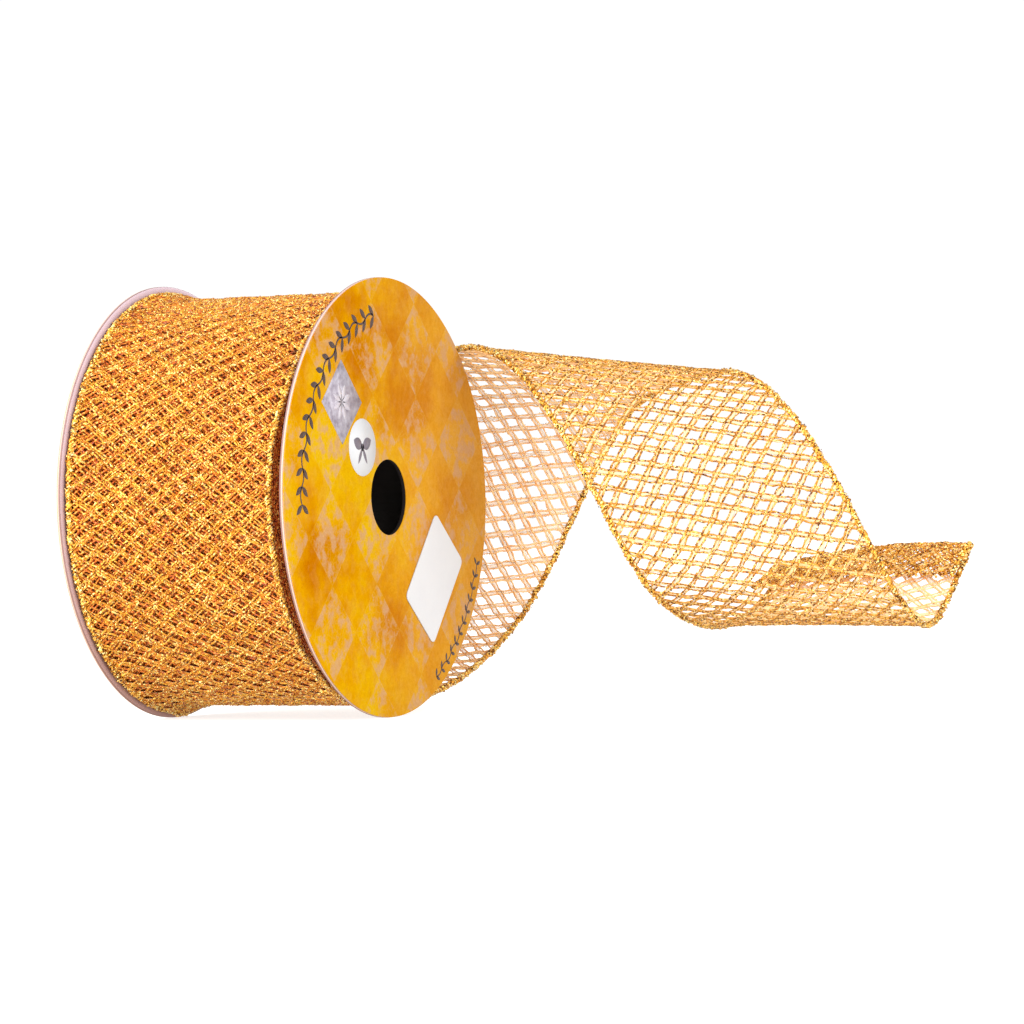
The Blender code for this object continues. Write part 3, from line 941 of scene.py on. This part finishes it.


# Five colours of glitter each, from dark to bright, and how much of the glitter has each
# The darkest of them are painted shade and dark reflections and the brightest painted glints, among
# the glitter's own gold tones
YARN_SHARES = (0.0, 0.16, 0.34, 0.66, 0.86)
GRAIN_SHARES = (0.0, 0.14, 0.34, 0.70, 0.88)
GOLDS = tones((146, 64, 6), (192, 106, 14), (216, 142, 28), (232, 180, 62), (250, 222, 136))
PALE_GOLDS = tones((112, 60, 5), (170, 102, 15), (210, 142, 36), (238, 184, 80), (255, 228, 154))
OLIVE_FLAKES = tones((84, 52, 4), (148, 92, 12), (206, 138, 28), (240, 186, 72), (255, 234, 160))
# The turns beneath and the core are painted darker and redder, as the shade deep in the roll
UNDER_GOLDS = tones((132, 50, 5), (176, 80, 10), (206, 108, 22), (226, 140, 40), (242, 190, 94))
DEEP_GOLDS = tones((122, 44, 4), (156, 66, 8), (188, 92, 14), (212, 122, 28), (236, 170, 72))
ROPE_GOLDS = tones((104, 56, 6), (180, 112, 20), (228, 160, 44), (250, 206, 96), (255, 240, 170))
# The wound edge cords are painted darker and redder, as the shade between the roll and the flanges
SELVAGE_GOLDS = tones((128, 42, 4), (176, 76, 12), (214, 110, 26), (236, 148, 48), (250, 198, 104))
INNER_YARN = tones((238, 174, 104), (255, 220, 164))

GLITTER = glitter_material("glitter_yarn", GOLDS)
PALE_GLITTER = glitter_material("glitter_yarn_loose", PALE_GOLDS)
# Darker copies of the same glitter, as painted shade deep in the roll
UNDER_GLITTER = glitter_material("painted_shade_yarn_beneath", UNDER_GOLDS)
CORE_GLITTER = glitter_material("painted_shade_depth", DEEP_GOLDS)
ROPE = glitter_material("glitter_rope", ROPE_GOLDS)
# A darker copy of the rope's glitter, as painted shade by the flanges
SELVAGE = glitter_material("painted_shade_selvage", SELVAGE_GOLDS)
FLAKES = flake_material("glitter_flakes", GOLDS)
LOOSE_FLAKES = flake_material("glitter_flakes_loose", OLIVE_FLAKES)
GAUZE = gauze_material()
BOARD = board_material()
PRINT = print_material()
LABEL = fibre_material("label_paper", (255, 255, 255), (248, 248, 250), 0.5, 3000.0, 0.01 * MM)
INK = fibre_material("brown_ink", (92, 58, 44), (70, 42, 34), 0.5)
BOW_INK = fibre_material("grey_ink", (150, 140, 150), (120, 110, 122), 0.5)
SILVER = fibre_material("silver_ink", (232, 224, 236), (150, 134, 150), 0.4, 900.0, mottling=520.0)
PEARL = fibre_material("pearl_ink", (244, 238, 244), (226, 214, 226), 0.4)
# The core tube is painted near black, as the shade inside the bore
CORE_SHADE_KRAFT = fibre_material("kraft_painted_shade", (42, 30, 22), (28, 20, 15), 0.95)
GLUE = fibre_material("hot_glue", (236, 220, 180), (220, 200, 150), 0.25, 600.0)
TAPE = fibre_material("tape", (236, 226, 196), (222, 208, 170), 0.3, 800.0)
WIRE = fibre_material("steel_wire", (170, 170, 176), (140, 140, 146), 0.35, 3000.0)


# ---- pieces


def edges():
    """The ribbon's two edges, and where across it their cords run."""
    return (
        ("back", RIBBON_START_X + ROPE_INSET),
        ("front", RIBBON_START_X + RIBBON_WIDTH - ROPE_INSET),
    )


def edge_wires():
    """The steel wire inside each of the free end's two edge cords."""
    for side, across in edges():
        s = np.arange(-TURN_LENGTH, TAIL_LENGTH, WIRE_STEP)
        path, normal = surface_frame(free_points, np.full_like(s, across), s)
        tubes = Tubes(WIRE_SIDES)
        tubes.add(path, normal, WIRE_RADIUS, WIRE_RADIUS)
        wire = tubes.build(f"{side}_steel_wire", WIRE, FREE)
        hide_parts(f"{side}_edge_wire")


def free_part(part, span, yarn, film, grain, source, fray=0.0):
    """One stretch of the free end: its net, the film in each pair, its glitter and its edge cords.

    yarn and film are each a section and a material. grain is the count of grains on a metre of
    yarn, their size and their material.
    """
    section, material = yarn
    per_metre, size, grain_material = grain
    sheet, paths = net(f"{part}_net", free_points, span, *yarn, FREE, source, fray=fray)
    weave = {"step": FILM_STEP, "fray": fray, "members": (0.0,)}
    joining, film_paths = net(f"{part}_film", free_points, span, *film, FREE, source, **weave)
    if film[1] is material:
        paths = paths + film_paths
    strewn = (per_metre, section[0], GRAIN_SPREAD, size)
    dust = glued_flakes(f"{part}_glitter", paths, *strewn, grain_material, FREE, source)
    pieces = [sheet, joining, dust]
    cords = []
    for side, across in edges():
        name = f"{side}_edge_rope_{part}"
        rope, rope_paths = edge_rope(name, across, span, ROPE, FREE, source)
        cords += rope_paths
        pieces.append(rope)
    name = f"{part}_edge_glitter"
    dust = glued_flakes(name, cords, *CORD_GRAINS, LOOSE_FLAKES, FREE, source, lean=180)
    pieces.append(dust)
    for piece in pieces[:3]:
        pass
    for piece in pieces[3:]:
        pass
    return pieces


def build_ribbon():
    source = np.random.default_rng(11)
    turn = free_part(
        "turn",
        (-TURN_LENGTH, 0.0),
        (YARN_SECTION, GLITTER),
        (FILM_SECTION, GLITTER),
        (1250, 0.32 * MM, FLAKES),
        source,
    )
    tail = free_part(
        "tail",
        (0.0, TAIL_LENGTH + FOLD_LENGTH),
        (LOOSE_SECTION, PALE_GLITTER),
        (LOOSE_FILM_SECTION, GAUZE),
        (1500, 0.26 * MM, LOOSE_FLAKES),
        source,
        fray=CUT_FRAY,
    )
    span = (HEM_START, TAIL_LENGTH + FOLD_LENGTH)
    weave = {"phase": HEM_PHASE, "fray": CUT_FRAY}
    yarn = (YARN_SECTION, PALE_GLITTER)
    hem, hem_paths = net("hem_net", free_points, span, *yarn, FREE, source, **weave)
    hem_dust = glued_flakes("hem_glitter", hem_paths, *HEM_GRAINS, FLAKES, FREE, source)
    for piece in (hem, hem_dust):
        tail.append(piece)
    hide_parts("ribbon_outer_turn")
    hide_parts("ribbon_tail")
    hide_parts("back_edge_binding")
    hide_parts("front_edge_binding")
    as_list(turn[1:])
    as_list(tail[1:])
    edge_wires()


def build_roll():
    """The turns under the outermost one: open nets over a dense core, between two selvages."""
    source = np.random.default_rng(12)
    for layer, phase in enumerate(UNDER_PHASES, start=1):
        radius = OUTER_RADIUS - UNDER_PITCH * layer

        def wound(across, along, radius=radius):
            return roll_points(across, along, radius, 0.0) + AXIS

        span = (-math.tau * radius, 0.0)
        yarn = (YARN_SECTION, UNDER_GLITTER)
        weave = {"step": UNDER_STEP, "stout": UNDER_STOUT, "phase": phase}
        under, _ = net(f"under_turn_{layer}_net", wound, span, *yarn, REEL, source, **weave)
    low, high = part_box("wound_net")
    outer = OUTER_RADIUS - UNDER_PITCH * (len(UNDER_PHASES) + CORE_DROP)
    profile = rounded_profile(low.x - AXIS[0], high.x - AXIS[0], CORE_RADIUS, outer, CORE_CORNER)
    core = turned("wound_net_core", profile, CORE_GLITTER, REEL)
    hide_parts("wound_net")
    for side in ("back", "front"):
        low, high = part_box(f"{side}_wound_selvage")
        across = (low.x + high.x) / 2 - AXIS[0]
        selvage = wound_selvage(f"{side}_selvage_cord", across, SELVAGE, REEL, source)
        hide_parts(f"{side}_wound_selvage")


def build_flanges():
    for side, margin in PRINT_MARGINS:
        profile = disc_profile(f"{side}_flange_board", FLANGE_RADIUS, BOARD_CORNER)
        board = turned(f"{side}_card_disc", profile, BOARD, REEL)
        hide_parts(f"{side}_flange_board")
        profile = disc_profile(f"{side}_flange_print", FLANGE_RADIUS - margin, PRINT_CORNER)
        sheet = turned(f"{side}_print_disc", profile, PRINT, REEL)
        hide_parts(f"{side}_flange_print")


def relief(name, outlines, x_low, thickness, material):
    """Flat shapes standing on the front print: each outline is a closed row of (y, z)."""
    points = []
    faces = []
    count = 0
    for outline in outlines:
        corners = len(outline)
        for x in (x_low, x_low + thickness):
            points += [(AXIS[0] + x, AXIS[1] + y, AXIS[2] + z) for y, z in outline]
        ring = np.arange(corners)
        after = (ring + 1) % corners
        faces.append(count + np.array([ring[::-1], ring + corners]))
        faces.append(count + np.stack([ring, after, after + corners, ring + corners], axis=1))
        count += 2 * corners
    piece = mesh_piece(name, np.array(points), faces, material, REEL, smooth=False)
    return piece


def placed(outline, centre, turn):
    """An outline turned and moved to its place on the disc."""
    cos_turn = math.cos(turn)
    sin_turn = math.sin(turn)
    return [
        (centre[0] + y * cos_turn - z * sin_turn, centre[1] + y * sin_turn + z * cos_turn)
        for y, z in outline
    ]


def oval(half_length, half_width, corners):
    turns = [corner * math.tau / corners for corner in range(corners)]
    return [(half_length * math.cos(turn), half_width * math.sin(turn)) for turn in turns]


def leaf(length, width, points=9):
    """A pointed leaf from its stalk at the origin along +Y."""
    shares = [point / (points - 1) for point in range(points)]
    upper = [
        (length * share, width / 2 * math.sin(math.pi * share) ** 0.8) for share in shares[1:-1]
    ]
    lower = [(y, -z) for y, z in upper]
    return [(0.0, 0.0)] + lower + [(length, 0.0)] + upper[::-1]


def on_arc(radius, degrees):
    return radius * math.cos(math.radians(degrees)), radius * math.sin(math.radians(degrees))


def vine(radius, first, last, leaves, size):
    """A border of leaves on both sides of a wavy stem, along an arc from one angle to another."""

    def stem(share):
        wave = math.sin(share * (leaves - 1) * math.pi)
        return on_arc(radius + 0.10 * size * wave, first + (last - first) * share)

    shares = [step / (6 * leaves) for step in range(6 * leaves + 1)]
    half = 0.035 * size
    outer = [stem(share) for share in shares]
    inner = [(y * (1 - half / radius), z * (1 - half / radius)) for y, z in reversed(outer)]
    outer = [(y * (1 + half / radius), z * (1 + half / radius)) for y, z in outer]
    outlines = [outer + inner]
    for number in range(leaves):
        share = number / (leaves - 1)
        degrees = first + (last - first) * share
        for lean in (38, 142):
            one_leaf = leaf(0.50 * size, 0.20 * size)
            outlines.append(placed(one_leaf, stem(share), math.radians(degrees + lean)))
    return outlines


def build_ornament():
    """Generic ornament on the front print: a leaf border, a silver lozenge and a bow medallion."""
    silver_centre = (-27.4 * MM, 26.7 * MM)
    medallion_centre = (-15.6 * MM, 14.1 * MM)
    border = vine(51.8 * MM, 98, 182, 16, 8.6 * MM) + vine(58.9 * MM, -62, -20, 12, 5.0 * MM)
    relief("leaf_border", border, FRONT_FACE, 0.05 * MM, INK)
    half = 8.4 * MM
    square = [(half, half), (-half, half), (-half, -half), (half, -half)]
    lozenge = placed(square, silver_centre, math.pi / 4)
    relief("silver_lozenge", [lozenge], FRONT_FACE, 0.04 * MM, SILVER)
    petals = [
        placed(leaf(5.4 * MM, 1.9 * MM), silver_centre, math.radians(45 * petal + 22))
        for petal in range(8)
    ]
    relief("silver_rosette", petals, FRONT_FACE + 0.04 * MM, 0.03 * MM, PEARL)
    disc = placed(oval(8.1 * MM, 8.1 * MM, 48), medallion_centre, 0)
    relief("medallion", [disc], FRONT_FACE + 0.01 * MM, 0.06 * MM, LABEL)
    bow = [placed(oval(0.9 * MM, 1.1 * MM, 16), medallion_centre, 0)]
    for side in (1, -1):
        for length, width, degrees in ((5.6, 3.4, 90 - side * 68), (5.4, 1.3, -90 + side * 30)):
            loop = leaf(length * MM, width * MM)
            bow.append(placed(loop, medallion_centre, math.radians(degrees)))
    relief("medallion_bow", bow, FRONT_FACE + 0.07 * MM, 0.03 * MM, BOW_INK)


def dress_cad_nodes():
    """The plain pieces that keep their CAD shape."""
    for node, material in (
        # The core tube's near black is painted shade inside the bore
        ("core_tube", CORE_SHADE_KRAFT),
        ("front_glue_ring", GLUE),
        ("back_glue_ring", GLUE),
        ("start_tape", TAPE),
        ("blank_label", LABEL),
    ):
        piece = frame["nodes"][node]
        piece.data.materials.clear()
        piece.data.materials.append(material)


def light_area(name, place, size, energy):
    data = bpy.data.lights.new(name, "AREA")
    data.shape = "RECTANGLE"
    data.size = size[0]
    data.size_y = size[1]
    data.energy = energy
    light = bpy.data.objects.new(name, data)
    light.location = place
    light.rotation_mode = "QUATERNION"
    light.rotation_quaternion = (LIGHT_TARGET - Vector(place)).to_track_quat("-Z", "Y")
    bpy.context.scene.collection.objects.link(light)


def build_studio():
    """A white world, three soft lights and a pale floor that lights the object from below."""
    world = bpy.data.worlds.new("studio")
    bpy.context.scene.world = world
    world.use_nodes = True
    background = world.node_tree.nodes["Background"].inputs
    background["Color"].default_value = (1, 1, 1, 1)
    background["Strength"].default_value = WORLD_LIGHT
    mesh = bpy.data.meshes.new("floor")
    reach = FLOOR_REACH
    corners = ((-reach, -reach, 0), (reach, -reach, 0), (reach, reach, 0), (-reach, reach, 0))
    mesh.from_pydata(corners, [], [(0, 1, 2, 3)])
    floor = bpy.data.objects.new("floor", mesh)
    bpy.context.scene.collection.objects.link(floor)
    nodes = Nodes("floor_paper")
    mesh.materials.append(nodes.done((FLOOR_SHADE,) * 3, 0.9))
    nodes.shader.inputs["Emission Color"].default_value = (1, 1, 1, 1)
    nodes.shader.inputs["Emission Strength"].default_value = FLOOR_GLOW
    bpy.context.scene.view_settings.view_transform = "Standard"
    light_area("key", (-0.35, -1.5, 0.9), (1.2, 1.2), 27)
    light_area("low", (-0.75, -1.3, 0.10), (1.0, 0.25), 20)
    light_area("fill", (1.5, -0.7, 0.7), (1.0, 1.0), 18)


build_ribbon()
build_roll()
build_flanges()
build_ornament()
dress_cad_nodes()
build_studio()
